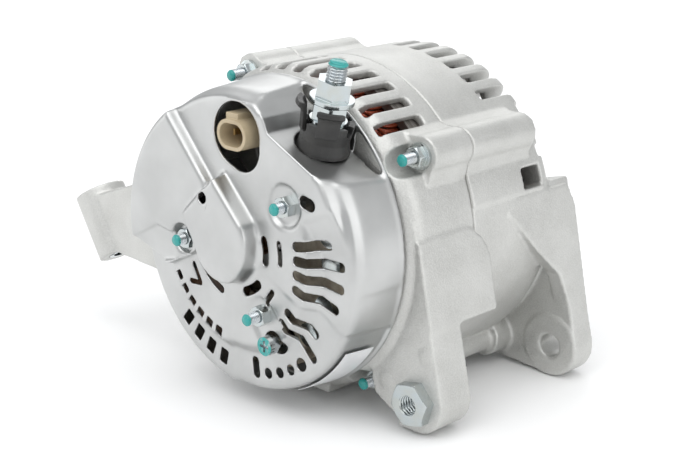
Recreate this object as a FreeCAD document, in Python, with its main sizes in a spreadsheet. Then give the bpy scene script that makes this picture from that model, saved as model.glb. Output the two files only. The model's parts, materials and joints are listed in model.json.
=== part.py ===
import FreeCAD, Part
import math
import os
import re

import Sketcher

# A belt-driven car alternator with a stamped rear cover, two cast housings, a claw-pole rotor in two
# ball bearings, a stator, a brush holder and a rectifier.
#
# Every sub-part is laid out along Y, the shaft axis, in the layout frame: y = 0 is the plane of the
# through-stud tips, -Y is the cover side, +Y the pulley side, X is to the right seen from the cover and
# Z is up.  The placements then move everything along Y so that the origin of the whole part is the
# centre of the pulley's belt seat.

V = FreeCAD.Vector
Y_AXIS = V(0, 1, 0)

DIMENSIONS = {
    # frame
    "belt_plane": 112,
    # housings
    "housing_radius": 70, "housing_inner_radius": 66, "rear_face": -3.3, "parting_plane": 35,
    "rear_shoulder": 8.8, "rear_wall": 5, "front_face": 92, "front_shoulder": 10, "front_wall": 5,
    "slot_width": 5.2, "slot_pitch": 8.4, "slot_rear_start": 0, "slot_rear_end": 26,
    "slot_front_start": 66, "slot_rear_first": 46.3, "slot_front_first": 50.8,
    "boss_radius": 8.2, "boss_rear": 12, "boss_front": 76, "boss_front_radius": 6,
    # through-studs
    "bolt_circle": 72, "bolt_angle": 33.35, "bolt_radius": 2.5, "bolt_end": 74, "bolt_nut_across": 8,
    "bolt_nut_height": 5, "bolt_hole_radius": 2.8, "spot_face_radius": 7, "boss_backing_radius": 63.8,
    # pivot lugs
    "lug_x": 69.9, "lug_z": -59.2, "lug_radius": 13.5, "rear_lug_face": 0, "rear_lug_thickness": 19,
    "front_lug_face": 89.8, "front_lug_end": 103, "front_bore_radius": 5.25, "web_radius": 69,
    "pad_top": 8, "pad_bottom": -28, "pad_front": 42, "band_height": 0.8, "band_angle": 12.3,
    "insert_radius": 7.5, "insert_across": 17, "insert_head": 5, "insert_bore_radius": 4.25,
    "lug_disc_radius": 14, "lug_disc_height": 0.9, "ejector_radius": 3.3, "ejector_height": 0.4,
    # adjusting ear
    "ear_x": -131.7, "ear_z": -24, "ear_y": 2, "ear_radius": 12.3, "ear_length": 33, "ear_tilt": 32,
    "ear_bush_radius": 7.5, "ear_bore_radius": 5.25, "arm_thickness": 18,
    # cover
    "cover_sheet": 1.2, "cover_rim": -3.6, "cover_rim_radius": 67.2, "cover_foot_radius": 66.3,
    "cover_brow_radius": 64.5, "cover_outer_radius": 61.5, "level_outer": -30, "level_inner": -35,
    "level_step": -40, "level_bump": -43, "saddle_distance": 49.4, "saddle_angle": 75.8,
    "sector_drop": 0.8, "flank_pad": 0.5, "vent_width": 3.8,
    # cover fasteners
    "cover_stud_radius": 2.5, "cover_nut_across": 8, "cover_nut_height": 4.5, "cover_nut_seat": -34,
    "seat_rise": 1.5, "screw_x": 20.6, "screw_z": -38, "screw_seat": -32.1, "screw_hole_radius": 5.2,
    # output terminal
    "output_y": -16.5, "output_offset": 22.3, "output_radius": 4, "output_length": 37.6,
    "output_across": 13, "insulator_radius": 10.8, "insulator_height": 13, "finger_height": 20.5,
    "output_core": 3.6,
    # field connector
    "connector_x": 3.8, "connector_z": 47.1, "connector_face": -38, "connector_width": 17,
    "connector_depth": 12.5, "connector_wall": 1.6, "connector_length": 24, "connector_floor": 17,
    # rotor
    "shaft_rear": -40, "shaft_length": 174, "rear_seat_radius": 6, "shaft_radius": 8.5,
    "pole_seat_radius": 10, "ring_core_radius": 5, "pole_radius": 52, "pole_rear": 12, "pole_front": 58,
    "pole_disc": 12, "claw_root": 28, "claw_tip": 12, "claw_thickness": 11, "claw_tip_thickness": 5,
    "claw_count": 6, "core_radius": 26, "coil_radius": 38.5, "bobbin_wall": 1.2,
    "slip_radius": 7.25, "sleeve_radius": 6.2, "rear_ring": -38, "front_ring": -26, "ring_width": 8,
    "fan_radius": 49, "fan_sheet": 1.5, "rear_blade": 6, "front_blade": 8.5, "blade_count": 11,
    # bearings
    "rear_bearing": -8, "rear_bearing_width": 10, "rear_bearing_radius": 16, "rear_hub_radius": 20.5,
    "front_bearing": 76, "front_bearing_width": 14, "front_bearing_radius": 23.5, "front_hub_radius": 30,
    "retainer_y": 73.5, "retainer_thickness": 2,
    # stator
    "stator_rear": 20, "stator_front": 50, "stator_bore": 52.6, "stator_slots": 36, "slot_depth": 9.5,
    "end_turn": 14.2, "end_turn_inner": 54.5, "end_turn_outer": 63.5,
    # brushes
    "brush_angle": 136, "brush_width": 5, "brush_axial": 6.2, "brush_length": 15, "brush_clearance": 0.05,
    "holder_inner": 9.5, "holder_outer": 34, "holder_half": 5.6, "holder_rear": -37.7, "holder_front": -15,
    # pulley
    "pulley_rear": 98, "pulley_length": 29, "pulley_radius": 28.5, "groove_count": 7,
    "groove_pitch": 3.56, "groove_depth": 2.8, "pulley_nut_across": 24, "pulley_nut_height": 8,
}

doc = FreeCAD.newDocument("alternator")
sheet = doc.addObject("Spreadsheet::Sheet", "Params")
for row, (alias, value) in enumerate(DIMENSIONS.items(), start=1):
    sheet.set(f"A{row}", alias)
    sheet.set(f"B{row}", str(value))
    sheet.setAlias(f"B{row}", alias)
doc.recompute()

SUB_PARTS = []


def size(alias):
    """A driving dimension, read from the sheet."""
    return float(sheet.get(alias))


def linked(expression):
    """The expression with every name pointing into the sheet."""
    return re.sub(r"[a-z][a-z_]*[a-z]", lambda found: "Params." + found.group(0), expression)


def worked_out(expression):
    """The expression's present value, from the sheet's own cells."""
    return float(sheet.evalExpression(expression))


def keep(feature, label, y_expression="0"):
    """Name a sub-part and place it: its own zero goes to y_expression in the layout frame."""
    feature.Label = label
    y_base = worked_out(y_expression) - size("belt_plane")
    feature.Placement = FreeCAD.Placement(V(0, y_base, 0), FreeCAD.Rotation())
    feature.setExpression("Placement.Base.y", linked(y_expression) + " - Params.belt_plane")
    SUB_PARTS.append(feature)
    return feature


def shaped(label, shape):
    """A sub-part whose shape is worked out in the layout frame."""
    feature = doc.addObject("Part::Feature", label)
    feature.Shape = shape if shape.Placement.isIdentity() else Part.makeCompound([shape])
    return keep(feature, label)


def origin_plane(body, role):
    return next(plane for plane in body.Origin.OriginFeatures if plane.Role == role)


def turned(label, profile, y_expression):
    """A turned body: a closed profile of (axial, radius) expressions revolved about Y."""
    body = doc.addObject("PartDesign::Body", label)
    sketch = body.newObject("Sketcher::SketchObject", label + "_profile")
    sketch.AttachmentSupport = [(origin_plane(body, "YZ_Plane"), "")]
    sketch.MapMode = "FlatFace"
    corners = [V(worked_out(axial), worked_out(radius), 0) for axial, radius in profile]
    for index, corner in enumerate(corners):
        sketch.addGeometry(Part.LineSegment(corner, corners[(index + 1) % len(corners)]), False)
    for index, corner in enumerate(corners):
        following = (index + 1) % len(corners)
        sketch.addConstraint(Sketcher.Constraint("Coincident", index, 2, following, 1))
    for index, (axial, radius) in enumerate(profile):
        for kind, value, expression in (("DistanceX", corners[index].x, axial),
                                        ("DistanceY", corners[index].y, radius)):
            number = sketch.addConstraint(Sketcher.Constraint(kind, -1, 1, index, 1, value))
            sketch.setExpression(f"Constraints[{number}]", linked(expression))
    turn = body.newObject("PartDesign::Revolution", label + "_turn")
    turn.Profile = sketch
    turn.ReferenceAxis = (sketch, ["H_Axis"])
    turn.Angle = 360
    body.Tip = turn
    return keep(body, label, y_expression)


def at_angle(radius, degrees, y=0):
    """The point at this radius and angle about the shaft; the angle runs from +X to +Z."""
    angle = math.radians(degrees)
    return V(radius * math.cos(angle), y, radius * math.sin(angle))


def cylinder(radius, y_start, y_end, centre=V(0, 0, 0)):
    return Part.makeCylinder(radius, y_end - y_start, V(centre.x, y_start, centre.z), Y_AXIS)


def ring(outer, inner, y_start, y_end, centre=V(0, 0, 0)):
    return cylinder(outer, y_start, y_end, centre).cut(cylinder(inner, y_start - 1, y_end + 1, centre))


def prism(points, y_start, y_end):
    """A prism along Y over a polygon of (x, z) points."""
    corners = [V(x, y_start, z) for x, z in points]
    return Part.Face(Part.makePolygon(corners + corners[:1])).extrude(V(0, y_end - y_start, 0))


def hexagon(across, y_start, y_end, centre=V(0, 0, 0), turn=0):
    corner = across / math.sqrt(3)
    points = []
    for step in range(6):
        point = at_angle(corner, turn + 60 * step)
        points.append((centre.x + point.x, centre.z + point.z))
    return prism(points, y_start, y_end)


def revolved(points):
    """A solid of revolution about Y over a closed polygon of (y, radius) points."""
    corners = [V(0, y, radius) for y, radius in points]
    return Part.Face(Part.makePolygon(corners + corners[:1])).revolve(V(0, 0, 0), Y_AXIS, 360)


def quarter(centre_y, centre_radius, radius, start, end, steps=6):
    """Points of a rounded shoulder in the (y, radius) half-plane, start and end in degrees."""
    points = []
    for step in range(steps + 1):
        angle = math.radians(start + (end - start) * step / steps)
        points.append((centre_y + radius * math.cos(angle), centre_radius + radius * math.sin(angle)))
    return points


def fused(shapes):
    return shapes[0].multiFuse(shapes[1:]) if len(shapes) > 1 else shapes[0]


def turned_about_y(shape, degrees):
    """The shape turned about the shaft so that +X moves towards +Z."""
    copy = shape.copy()
    copy.rotate(V(0, 0, 0), Y_AXIS, -degrees)
    return copy


def about_shaft(radius, degrees):
    point = at_angle(radius, degrees)
    return (point.x, point.z)


def sector(inner, outer, start, end, y_start, y_end):
    """A flat sector about the shaft, between two radii and two angles."""
    steps = 8
    points = [about_shaft(outer, start + (end - start) * step / steps) for step in range(steps + 1)]
    points += [about_shaft(inner, end + (start - end) * step / steps) for step in range(steps + 1)]
    return prism(points, y_start, y_end)


def bolt_places(y=0):
    return [at_angle(size("bolt_circle"), size("bolt_angle") + 90 * step, y) for step in range(4)]


def hull_with_round(centre, radius, web_radius, y_start, y_end):
    """The slab between a round boss and the shaft circle, bounded by their two common tangents."""
    reach = math.hypot(centre.x, centre.z)
    heading = math.degrees(math.atan2(centre.z, centre.x))
    spread = math.degrees(math.acos((web_radius - radius) / reach))
    upper = heading + spread
    lower = heading - spread
    outline = [at_angle(web_radius, lower), centre + at_angle(radius, lower),
               centre + at_angle(radius, upper), at_angle(web_radius, upper), V(0, 0, 0)]
    slab = prism([(corner.x, corner.z) for corner in outline], y_start, y_end)
    return slab.fuse(cylinder(radius, y_start, y_end, centre))


# ---------------------------------------------------------------------------------------------
# Housings


def boss_shape(angle, y_start, y_end):
    """One through-stud boss, tapering into the housing wall."""
    radius = size("boss_radius")
    centre = at_angle(size("bolt_circle"), 0)
    tip = centre.x + 1.5
    flank = [(58, -15), (68.5, -13), (tip, -radius), (tip, radius), (68.5, 13), (58, 15)]
    boss = prism(flank, y_start, y_end).fuse(cylinder(radius, y_start, y_end, centre))
    return turned_about_y(boss, angle)


def slot_cutters(first_angle, count, y_start, y_end, inner_radius):
    """Radial vent slots, one every pitch, cut through the wall and its shoulder."""
    half = size("slot_width") / 2
    cutter = prism([(inner_radius, -half), (80, -half), (80, half), (inner_radius, half)], y_start, y_end)
    return [turned_about_y(cutter, first_angle + size("slot_pitch") * step) for step in range(count)]


def pivot_centre():
    return V(size("lug_x"), 0, size("lug_z"))


def ear_axis():
    tilt = math.radians(size("ear_tilt"))
    return V(-math.sin(tilt), 0, math.cos(tilt))


def ear_centre():
    return V(size("ear_x"), size("ear_y"), size("ear_z"))


def ear_cylinder(radius, length):
    axis = ear_axis()
    return Part.makeCylinder(radius, length, ear_centre() - axis * (length / 2), axis)


def ear_arm():
    """The arm from the rear housing out to the adjusting ear."""
    axis = ear_axis()
    centre = ear_centre()
    half = size("ear_length") / 2
    top = centre + axis * (half - 2.5)
    bottom = centre - axis * (half - 4)
    near_top = at_angle(size("web_radius"), 168)
    near_bottom = at_angle(size("web_radius"), -146)
    outline = [(near_top.x, near_top.z), (top.x, top.z), (bottom.x, bottom.z),
               (near_bottom.x, near_bottom.z), (-50, -12)]
    half_thickness = size("arm_thickness") / 2
    return prism(outline, size("ear_y") - half_thickness, size("ear_y") + half_thickness)


def rear_housing():
    outer = size("housing_radius")
    inner = size("housing_inner_radius")
    rear = size("rear_face")
    front = size("parting_plane")
    shoulder = size("rear_shoulder")
    wall_end = rear + size("rear_wall")
    hub = size("rear_hub_radius")
    shell_profile = [(rear, size("rear_bearing_radius")), (rear, outer - shoulder)]
    shell_profile += quarter(rear + shoulder, outer - shoulder, shoulder, 180, 90)[1:]
    shell_profile += [(front, outer), (front, inner), (wall_end + 6, inner), (wall_end, inner - 5),
                      (wall_end, size("rear_bearing_radius"))]
    hub_rear = size("rear_bearing") - 1
    hub_front = size("rear_bearing") + size("rear_bearing_width") + 1.5
    body = revolved(shell_profile)
    body = body.fuse(ring(hub, size("rear_bearing_radius"), hub_rear, hub_front))
    body = body.fuse(ring(hub - 3, size("rear_seat_radius") + 2, hub_rear, hub_rear + 1))
    bosses = [boss_shape(size("bolt_angle") + 90 * step, size("boss_rear"), front) for step in range(4)]
    lug = hull_with_round(pivot_centre(), size("lug_radius"), size("web_radius"),
                          size("rear_lug_face"), size("rear_lug_thickness"))
    pad = hull_with_round(pivot_centre(), size("lug_radius"), size("web_radius") + 1.5,
                          size("rear_lug_face"), size("pad_front"))
    top = size("pad_top")
    bottom = size("pad_bottom")
    end = size("pad_front")
    corner = [Part.LineSegment(V(52, -1, bottom), V(52, -1, top)).toShape(),
              Part.LineSegment(V(52, -1, top), V(52, end - 13, top)).toShape(),
              Part.Arc(V(52, end - 13, top), V(52, end - 2.5, top - 7), V(52, end, top - 18)).toShape(),
              Part.LineSegment(V(52, end, top - 18), V(52, end, bottom)).toShape(),
              Part.LineSegment(V(52, end, bottom), V(52, -1, bottom)).toShape()]
    pad = pad.common(Part.Face(Part.Wire(corner)).extrude(V(40, 0, 0)))
    marks = [cylinder(size("ejector_radius"), -size("ejector_height"), 1, V(x, 0, z))
             for x, z in ((75.3, -38.6), (53.5, -54.5))]
    # the lug's lower edge runs straight from the pivot to the stud boss
    lower_edge = [(20, -50), (45.5, -50), (45.5, -60.5), (50, -63), (60, -68.3), (64, -90), (20, -90)]
    below_lug = prism(lower_edge, -1, size("rear_lug_thickness") + 0.5)
    arm = ear_arm().fuse(ear_cylinder(size("ear_radius"), size("ear_length")))
    cavity = revolved([(rear - 10, 0), (rear - 10, outer - shoulder), (wall_end, inner - 5),
                       (wall_end + 6, inner), (front + 20, inner), (front + 20, 0)])
    cover_room = cylinder(size("cover_rim_radius") + 1.5, rear - 10, rear)
    lug = fused([lug, pad] + marks).cut(below_lug)
    attachments = fused(bosses + [lug, arm]).cut(cavity).cut(cover_room)
    backing = []
    for step in range(4):
        middle = size("bolt_angle") + 90 * step
        backing.append(sector(size("boss_backing_radius"), inner + 0.5, middle - 9, middle + 9, rear + 1,
                              size("stator_rear") - 2))
    body = body.fuse(attachments).multiFuse(backing)
    cuts = [cylinder(outer + 0.2, front, size("pad_front") + 1)]
    for place in bolt_places():
        cuts.append(cylinder(size("bolt_hole_radius"), -10, front + 1, place))
        cuts.append(cylinder(size("spot_face_radius"), -10, size("boss_rear"), place))
    cuts += slot_cutters(size("slot_rear_first"), 8, size("slot_rear_start"), size("slot_rear_end"), 56)
    cuts += slot_cutters(size("slot_rear_first") + 90, 4, size("slot_rear_start"), size("slot_rear_end"), 56)
    cuts += slot_cutters(size("slot_rear_first") + 192, 5, size("slot_rear_start"), size("slot_rear_end"), 56)
    cuts.append(cylinder(size("insert_radius"), -1, size("rear_lug_thickness") + 1, pivot_centre()))
    cuts.append(ear_cylinder(size("ear_bush_radius"), size("ear_length") + 2))
    # air inlets in the end wall, between the bearing hub and the rim
    for step in range(8):
        angle = 20 + 45 * step
        cuts.append(cylinder(8, rear - 1, wall_end + 1, at_angle(34, angle)))
    posts = [ring(4.2, size("cover_stud_radius") - 0.6, post_end(x), rear + 1, V(x, 0, z))
             for x, z in cover_stud_places()]
    return body.cut(fused(cuts)).multiFuse(posts)


def drive_end_housing():
    outer = size("housing_radius")
    inner = size("housing_inner_radius")
    rear = size("parting_plane")
    front = size("front_face")
    shoulder = size("front_shoulder")
    wall = size("front_wall")
    bearing = size("front_bearing_radius")
    profile = [(rear, inner), (rear, outer)]
    profile += quarter(front - shoulder, outer - shoulder, shoulder, 90, 0)
    profile += [(front, bearing), (front - wall, bearing), (front - wall, inner - 12),
                (front - wall - 12, inner)]
    body = revolved(profile)
    hub_rear = size("front_bearing") - 0.5
    bearing_end = size("front_bearing") + size("front_bearing_width")
    body = body.fuse(ring(size("front_hub_radius"), bearing, hub_rear, front + 1.5))
    body = body.fuse(ring(bearing + 3, size("shaft_radius") + 5, bearing_end, front + 1.5))
    bosses = []
    for step in range(3):
        bosses.append(boss_shape(size("bolt_angle") + 90 * step, rear, size("boss_front")))
    low_place = bolt_places()[3]
    bosses.append(boss_shape(size("bolt_angle") + 270, rear, 52))
    bosses.append(cylinder(size("boss_radius") + 0.6, 79, front, low_place))
    bosses.append(cylinder(size("boss_front_radius"), rear, front, low_place))
    lug = hull_with_round(pivot_centre(), size("lug_radius") + 0.5, size("web_radius") - 1,
                          size("front_lug_face"), size("front_lug_end"))
    lug = lug.cut(cylinder(47, front + 1.5, size("front_lug_end") + 1))
    face = size("front_lug_face")
    disc = cylinder(size("lug_disc_radius"), face - size("lug_disc_height"), size("front_lug_end"),
                    pivot_centre())
    mark = cylinder(size("ejector_radius"), face - size("ejector_height"), face + 1, V(75.1, 0, -35.8))
    web = hull_with_round(pivot_centre(), size("lug_radius"), size("web_radius") + 1.5, 50,
                          size("front_lug_end"))
    web_side = [(57, 8), (66, 16), (98, 16), (103, 4), (103, -60), (92, -60), (92, -46), (86, -24), (72, -10)]
    corners = [V(50, y, z) for y, z in web_side]
    gusset = Part.Face(Part.makePolygon(corners + corners[:1])).extrude(V(40, 0, 0))
    inward = web.copy()
    inward.translate(V(-8, 0, -1))
    web = web.common(gusset).cut(inward.common(Part.makeBox(60, 32, 80, V(40, 58, -64))))
    shaft_hole = size("shaft_radius") + 5
    cavity = revolved([(rear - 1, 0), (rear - 1, inner), (front - wall - 12, inner),
                       (front - wall, inner - 12), (front - wall, bearing), (bearing_end, bearing),
                       (bearing_end, shaft_hole), (front + 20, shaft_hole), (front + 20, 0)])
    band = sector(outer + size("band_height"), inner + 1, size("band_angle"), size("bolt_angle"), rear,
                  front - shoulder)
    body = body.fuse(fused(bosses + [lug, web, disc, mark]).cut(cavity)).fuse(band)
    cuts = []
    for place in bolt_places():
        cuts.append(cylinder(size("bolt_hole_radius") - 0.3, rear - 1, size("bolt_end") + 0.5, place))
    cuts += slot_cutters(size("slot_front_first"), 8, size("slot_front_start"), front + 4, 46)
    cuts += slot_cutters(size("slot_front_first") + 90, 8, size("slot_front_start"), front + 4, 46)
    cuts += slot_cutters(size("slot_front_first") + 180, 6, size("slot_front_start"), front + 4, 46)
    cuts += slot_cutters(size("slot_front_first") - 3 * size("slot_pitch"), 3, 84, front + 4, 46)
    window = prism([(55, -4.6), (80, -4.6), (80, 4.6), (55, 4.6)], 69, 82)
    cuts.append(turned_about_y(window, 17))
    cuts.append(cylinder(size("front_bore_radius"), 80, 110, pivot_centre()))
    for place in retainer_screw_places():
        cuts.append(cylinder(2.1, 70, 85, place))
    return body.cut(fused(cuts))


def post_end(x):
    """The depth at which a cover stud's post meets the cover sheet; the left-hand seat is the highest."""
    rise = size("seat_rise") if x > 0 else 0
    return size("cover_nut_seat") + size("cover_sheet") + rise


def cover_stud_places():
    return [(-27.5, -2.2), (31, 22.3), (15.5, -26.7)]


def screw_place():
    return V(size("screw_x"), 0, size("screw_z"))


def retainer_screw_places():
    return [at_angle(26.7, 45 + 90 * step) for step in range(4)]


shaped("rear_housing", rear_housing())
shaped("drive_end_housing", drive_end_housing())


# ---------------------------------------------------------------------------------------------
# Rear cover


def wire_at(points, y):
    """A closed wire of straight lines and arcs at depth y; an entry of four numbers is an arc
    through its first point to its second."""
    edges = []
    start = V(points[0][0], y, points[0][1])
    last = start
    for entry in points[1:]:
        end = V(entry[-2], y, entry[-1])
        if len(entry) == 4:
            edges.append(Part.Arc(last, V(entry[0], y, entry[1]), end).toShape())
        else:
            edges.append(Part.LineSegment(last, end).toShape())
        last = end
    edges.append(Part.LineSegment(last, start).toShape())
    return Part.Wire(edges)


def raised(points, foot_y, top_y, spread, inset):
    """A raised zone: its top outline, drawn in by inset, over a foot that is wider by spread."""
    top = wire_at(points, 0)
    if inset:
        top = Part.Face(top).makeOffset2D(-inset, 2).OuterWire
    foot = Part.Face(top).makeOffset2D(spread, 2).OuterWire
    top.translate(V(0, top_y, 0))
    foot.translate(V(0, foot_y, 0))
    slope = Part.makeLoft([foot, top], True, True)
    return slope


def step_zone():
    """The highest flat of the face, between the left rim and the diagonal step."""
    radius = size("cover_outer_radius") + 0.6
    return [about_shaft(radius, 124), about_shaft(radius, 156) + about_shaft(radius, 188), (-38, -15.5),
            (-19, -5.5), (-11, 25)]


def bump_zone():
    """The hump over the slip rings: a diagonal flat that ends in an arc about the shaft."""
    return [(-3.5, 29), (13, 12), about_shaft(14.5, 0) + about_shaft(14.5, -70),
            about_shaft(14.5, -120) + about_shaft(15.5, -168), (-23.5, 10.5)]


def connector_zone():
    """The recessed flat round the connector, out to the upper rim."""
    radius = size("cover_outer_radius")
    return [about_shaft(30, 24), about_shaft(radius - 0.5, 24),
            about_shaft(radius, 76) + about_shaft(radius, 126),
            (-20, 10), (0, 0)]


def dropped_sector():
    """The part of the face, and of the flank beside it, that is pressed a little deeper than the rest."""
    outline = [(-4, -10), (16, -7), (39, -18), (46, -19), about_shaft(90, -27), (90, -90), (-7, -90)]
    return prism([(corner[0], corner[1]) for corner in outline], -60, 0)


def cup(inset):
    """The cup and the disc on its face, drawn in by inset."""
    foot = size("cover_foot_radius") - inset
    brow = size("cover_brow_radius") - inset
    outer = size("cover_outer_radius") - inset
    rim = size("cover_rim") + (1 if inset else 0)
    outer_y = size("level_outer") + inset
    inner_y = size("level_inner") + inset
    bowl = revolved([(rim, 0), (rim, foot), (outer_y + 4, brow), (outer_y + 1, brow - 0.8), (outer_y, outer),
                     (outer_y, 0)])
    disc = revolved([(outer_y + 1, 0), (outer_y + 1, 48.5 - inset), (outer_y, 48 - inset),
                     (inner_y, 43 - inset),
                     (inner_y, 0)])
    return bowl.fuse(disc)


def face_ramp(inset):
    """The slow rise of the outer ring, from its lower level up to the connector's flat."""
    start = at_angle(54, 5, size("level_outer") + inset)
    end = at_angle(54, 28, size("level_inner") + inset)
    base = V(0, 6, 0)
    across = at_angle(1, 16.5)
    near = start - across * 8
    corners = [near, end - across * 8, end - across * 8 + base, near + base]
    ramp = Part.Face(Part.makePolygon(corners + corners[:1])).extrude(across * 20)
    return ramp.common(cylinder(size("cover_outer_radius") - inset, -60, -20))


def cover_form(inset):
    """The solid inside the cover's outer skin, drawn in by inset."""
    drop = dropped_sector()
    face = cup(inset).cut(drop).fuse(cup(inset + size("sector_drop")).common(drop))
    outer_y = size("level_outer") + inset
    inner_y = size("level_inner") + inset
    connector = raised(connector_zone(), outer_y + 3, inner_y, 2.6, inset)
    step = raised(step_zone(), outer_y + 4, size("level_step") + inset, 1.6, inset)
    bump = raised(bump_zone(), inner_y + 2, size("level_bump") + inset, 1.3, inset)
    parts = [face, face_ramp(inset), connector, step, bump]
    if not inset:
        parts.append(flank_pad())
    return fused(parts)


def flank_pad():
    """The upper right stretch of the flank, which stands a little proud of the rest."""
    foot = size("cover_foot_radius")
    brow = size("cover_brow_radius")
    rim = size("cover_rim")
    edge = size("level_outer") + 4
    band = revolved([(rim, foot - 1), (rim, foot + size("flank_pad")), (edge + 0.6, brow + size("flank_pad")),
                     (edge - 0.8, brow - 0.4), (edge, brow - 1)])
    return band.common(sector(55, 75, -8, 52, -50, 0))


def saddle(inset):
    """What the saddle round the output stud takes off the cup: a slanting flank and a round seat."""
    points = [(9, 82), (12.5, 61.8), (18.6, 56), (21.4, 50), (44, 38.8), (62, 31), (90, 80)]
    flank = Part.Face(wire_at(points, -60))
    if inset:
        flank = flank.makeOffset2D(inset, 2)
    flank = flank.extrude(V(0, 54.4, 0))
    return flank.fuse(output_cylinder(size("insulator_radius") + 0.8 + inset, -inset, 20))


def slot(start, end, width, y_start=-60, y_end=-20):
    """A round-ended slot between two (x, z) points."""
    first = V(start[0], y_start, start[1])
    last = V(end[0], y_start, end[1])
    along = (last - first).normalize()
    side = V(along.z, 0, -along.x) * (width / 2)
    edges = [Part.LineSegment(first + side, last + side).toShape(),
             Part.Arc(last + side, last + along * (width / 2), last - side).toShape(),
             Part.LineSegment(last - side, first - side).toShape(),
             Part.Arc(first - side, first - along * (width / 2), first + side).toShape()]
    return Part.Face(Part.Wire(edges)).extrude(V(0, y_end - y_start, 0))


def radial_slot(angle, inner, outer, width):
    return slot(about_shaft(inner, angle), about_shaft(outer, angle), width)


def square_vent(angle, inner, outer, width):
    half = width / 2
    vent = prism([(inner, -half), (outer, -half), (outer, half), (inner, half)], -60, -20)
    return turned_about_y(vent, angle)


def arc_slot(radius, start, end, width, steps=5):
    points = [about_shaft(radius, start + (end - start) * step / steps) for step in range(steps + 1)]
    return fused([slot(points[step], points[step + 1], width) for step in range(steps)])


def cover_openings():
    cuts = []
    # connector opening: wide above, narrower below
    upper = cylinder(13.4, -60, -20, V(3.4, 0, 46.8))
    lower = cylinder(10.4, -60, -20, V(6.4, 0, 42.4))
    cuts.append(upper.fuse(lower))
    # square vents at the lower left, an inner row and an outer row
    for step in range(6):
        cuts.append(square_vent(-105 - 8.9 * step, 39.2, 45.6, size("vent_width") + 0.3))
    for step in range(4):
        cuts.append(square_vent(-104 - 9 * step, 51.7, 58.4, size("vent_width") + 0.9))
    # long vents across the conical band
    for angle, inner, outer in ((11, 37.5, 52), (2, 37, 57), (-7.2, 37, 57), (-16.8, 38, 56), (-35.5, 38, 51),
                                (-45, 38.5, 57)):
        cuts.append(radial_slot(angle, inner, outer, size("vent_width")))
    # round vents along the lower right edge
    for angle, radius in ((-53.4, 2.8), (-61.1, 2.2), (-68.5, 2.2), (-76, 2.2)):
        cuts.append(cylinder(radius, -60, -20, at_angle(55.8, angle)))
    cuts.append(radial_slot(-83.5, 51, 56.5, size("vent_width")))
    # curved slots round the hump
    cuts.append(arc_slot(22.3, -151, -111, 3.2))
    cuts.append(arc_slot(19.6, -71, -46, 3.8))
    cuts.append(arc_slot(19.4, -9, 18, 3.4))
    cuts.append(arc_slot(27.8, -4, 13, 2.4))
    cuts.append(slot((17.5, -21.5), (22, -15.5), 2.4))
    cuts.append(slot((-25.4, -13.6), (-21.6, -20.6), 2.1))
    cuts.append(slot((-21.6, -21.2), (-27.6, -21.6), 2.1))
    # sight holes
    cuts.append(cylinder(2.5, -60, -30, V(-9.5, 0, 19.9)))
    oval = slot((41.6, 26.3), (45.2, 25.5), 5)
    cuts.append(oval)
    return cuts


def dish(x, z, floor_y, top_radius, floor_radius):
    """A round dish pressed into the face, as the cone that it removes."""
    cone = [(-46, 0), (-46, top_radius), (floor_y, floor_radius), (floor_y, 0)]
    return revolved(cone).translated(V(x, 0, z))


def fastener_dishes(sheet_depth):
    """Dishes that bring the sheet down to the cover studs' seats, for the skin at this depth."""
    seat = size("cover_nut_seat") + sheet_depth
    left, right, low = cover_stud_places()
    ledge_outline = [(-72, -14), (-40, -14.5), (-24, -10), (-24.5, -5.5), (-32, -1), (-44, 1)]
    ledge = Part.Face(wire_at(ledge_outline, -46))
    if sheet_depth:
        ledge = ledge.makeOffset2D(sheet_depth, 2)
    deep = seat + size("seat_rise")
    return [dish(right[0] - 0.6, right[1], deep, 12.5 + sheet_depth, 8.5 + sheet_depth),
            dish(left[0], left[1], seat, 7.2 + sheet_depth, 6.4 + sheet_depth),
            ledge.extrude(V(0, size("level_step") + 2.2 + sheet_depth + 46, 0)),
            slot(low, (24, -38.5), 15 + 2 * sheet_depth, -46, deep)]


def rear_cover():
    sheet_thickness = size("cover_sheet")
    outer = cover_form(0).cut(saddle(0)).cut(fused(fastener_dishes(0)))
    inner = cover_form(sheet_thickness).cut(saddle(sheet_thickness))
    inner = inner.cut(fused(fastener_dishes(sheet_thickness)))
    lip = revolved([(size("cover_rim"), size("cover_foot_radius") - 1.2),
                    (size("cover_rim"), size("cover_rim_radius")),
                    (size("cover_rim") - 1.3, size("cover_rim_radius")),
                    (size("cover_rim") - 1.6, size("cover_foot_radius") - 1.2)])
    cover = outer.cut(inner).fuse(lip)
    cuts = cover_openings()
    for x, z in cover_stud_places():
        cuts.append(cylinder(size("cover_stud_radius") + 0.3, -60, -20, V(x, 0, z)))
    cuts.append(cylinder(size("screw_hole_radius"), -60, -20, screw_place()))
    cuts.append(output_hole())
    return cover.cut(fused(cuts))


def output_axis():
    angle = math.radians(size("saddle_angle"))
    return V(math.cos(angle), 0, math.sin(angle))


def output_foot():
    """Where the output stud's axis meets the flat of the cover."""
    angle = math.radians(size("saddle_angle"))
    along = V(math.sin(angle), 0, -math.cos(angle))
    foot = output_axis() * size("saddle_distance") + along * size("output_offset")
    return V(foot.x, size("output_y"), foot.z)


def output_cylinder(radius, start, end):
    """A cylinder about the output stud, between two heights over its flat."""
    return Part.makeCylinder(radius, end - start, output_foot() + output_axis() * start, output_axis())


def output_hole():
    return output_cylinder(8.4, -6, 4)


shaped("rear_cover", rear_cover())


# ---------------------------------------------------------------------------------------------
# Fasteners and terminals


def grouped(label, shapes):
    """Identical fasteners, kept as separate solids of one sub-part."""
    return shaped(label, Part.makeCompound(shapes))


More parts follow.
